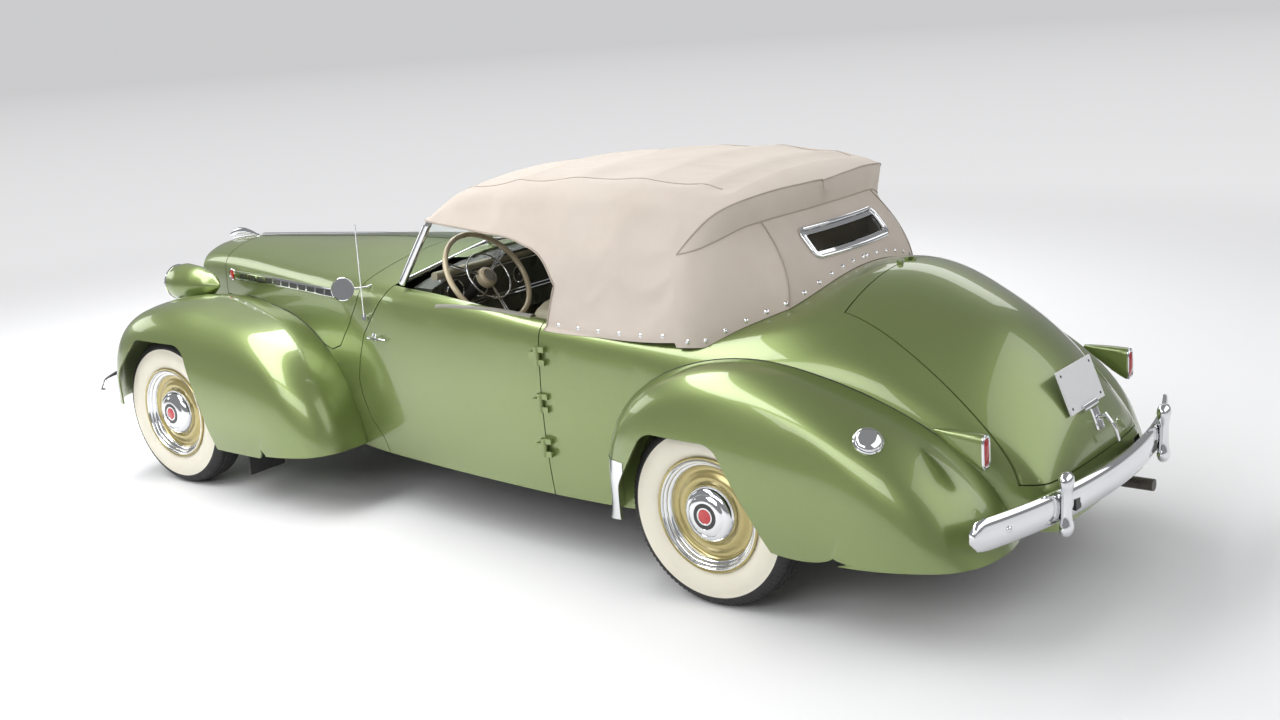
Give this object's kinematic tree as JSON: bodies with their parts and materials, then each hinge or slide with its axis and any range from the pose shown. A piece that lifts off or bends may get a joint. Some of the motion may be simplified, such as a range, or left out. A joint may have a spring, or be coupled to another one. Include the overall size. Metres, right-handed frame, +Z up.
{
  "type": "convertible car",
  "caption": "Full-size vintage two-door convertible with cloth top up, rear-hinged doors, split hood, trunk lid, steered front wheels and spoked steering wheel.",
  "frame": {"origin": "on the floor, midway along the length and width", "axes": "+X forward, +Y to the left, +Z up"},
  "size_m": [5.371, 1.8868, 1.5812],
  "materials": {
    "paint": "metallic sage green lacquer, polished",
    "chrome": "polished chromium plate",
    "canvas": "beige top canvas",
    "glass": "clear plate glass",
    "rubber": "black tread, cream sidewall",
    "black": "black chassis enamel",
    "leather": "beige green hide",
    "wheelpaint": "gold paint with chrome cap",
    "cast": "engine grey",
    "rubbersheet": "sheet rubber",
    "dash": "dark lacquer",
    "plate": "blank white enamel"
  },
  "bodies": {
    "body": {"aerial": "chrome", "back_curtain": "canvas", "chassis_frame": "black", "cowl": "paint", "dashboard": "dash", "engine": "cast", "engine_aprons": "paint", "exhaust": "black", "floor_pan": "black", "front_arms": "black", "front_bumper": "chrome", "front_fender_left": "paint", "front_fender_right": "paint", "front_seat": "leather", "fuel_tank": "black", "grille": "chrome", "headlamps": "paint", "hood_ornament": "chrome", "hood_strip": "chrome", "mud_flaps": "rubbersheet", "radiator": "black", "radiator_shell": "paint", "rear_axle": "black", "rear_bumper": "chrome", "rear_fender_left": "paint", "rear_fender_right": "paint", "rear_seat": "leather", "rear_springs": "black", "rear_window_frame": "chrome", "rear_window_glass": "glass", "side_mirror": "chrome", "soft_top": "canvas", "steering_column": "black", "tail_lamps": "paint", "tub": "paint", "windshield_frame": "chrome", "windshield_glass": "glass"},
    "door_left": {"door_left": "paint"},
    "door_right": {"door_right": "paint"},
    "hood_left": {"hood_left": "paint"},
    "hood_right": {"hood_right": "paint"},
    "trunk_lid": {"trunk_lid": "paint", "number_plate": "plate"},
    "knuckle_left": {"knuckle_left": "black"},
    "knuckle_right": {"knuckle_right": "black"},
    "steering_wheel": {"steering_wheel": "chrome"},
    "wheel_front_left": {"wheel_front_left": "wheelpaint", "tyre_front_left": "rubber"},
    "wheel_front_right": {"wheel_front_right": "wheelpaint", "tyre_front_right": "rubber"},
    "wheel_rear_left": {"wheel_rear_left": "wheelpaint", "tyre_rear_left": "rubber"},
    "wheel_rear_right": {"wheel_rear_right": "wheelpaint", "tyre_rear_right": "rubber"}
  },
  "joints": [
    {"name": "door_left_hinge", "type": "hinge", "parent": "body", "child": "door_left", "pos_m": [-0.5605, 0.772, 0.65], "axis": [0, 0, 1], "range_deg": [0, 65]},
    {"name": "door_right_hinge", "type": "hinge", "parent": "body", "child": "door_right", "pos_m": [-0.5605, -0.772, 0.65], "axis": [0, 0, -1], "range_deg": [0, 65]},
    {"name": "hood_left_hinge", "type": "hinge", "parent": "body", "child": "hood_left", "pos_m": [1.2995, 0.013, 1.124], "axis": [0.9991, 0, -0.0422], "range_deg": [0, 50]},
    {"name": "hood_right_hinge", "type": "hinge", "parent": "body", "child": "hood_right", "pos_m": [1.2995, -0.013, 1.124], "axis": [-0.9991, 0, 0.0422], "range_deg": [0, 50]},
    {"name": "trunk_hinge", "type": "hinge", "parent": "body", "child": "trunk_lid", "pos_m": [-1.793, 0, 1.184], "axis": [0, 1, 0], "range_deg": [0, 55]},
    {"name": "steer_left", "type": "hinge", "parent": "body", "child": "knuckle_left", "pos_m": [1.8155, 0.64, 0.362], "axis": [0, 0, 1], "range_deg": [-30, 30]},
    {"name": "steer_right", "type": "hinge", "parent": "body", "child": "knuckle_right", "pos_m": [1.8155, -0.64, 0.362], "axis": [0, 0, 1], "range_deg": [-30, 30]},
    {"name": "steering_wheel_turn", "type": "hinge", "parent": "body", "child": "steering_wheel", "pos_m": [0.0445, 0.38, 1.072], "axis": [-0.8131, 0, 0.5821], "range_deg": [-540, 540]},
    {"name": "wheel_front_left_spin", "type": "hinge", "parent": "knuckle_left", "child": "wheel_front_left", "pos_m": [1.8155, 0.755, 0.362], "axis": [0, 1, 0], "continuous": true},
    {"name": "wheel_front_right_spin", "type": "hinge", "parent": "knuckle_right", "child": "wheel_front_right", "pos_m": [1.8155, -0.755, 0.362], "axis": [0, 1, 0], "continuous": true},
    {"name": "wheel_rear_left_spin", "type": "hinge", "parent": "body", "child": "wheel_rear_left", "pos_m": [-1.4105, 0.77, 0.362], "axis": [0, 1, 0], "continuous": true},
    {"name": "wheel_rear_right_spin", "type": "hinge", "parent": "body", "child": "wheel_rear_right", "pos_m": [-1.4105, -0.77, 0.362], "axis": [0, 1, 0], "continuous": true}
  ],
  "couplings": [
    {"joint": "steer_right", "follows": "steer_left", "ratio": 1},
    {"joint": "steering_wheel_turn", "follows": "steer_left", "ratio": 16}
  ]
}
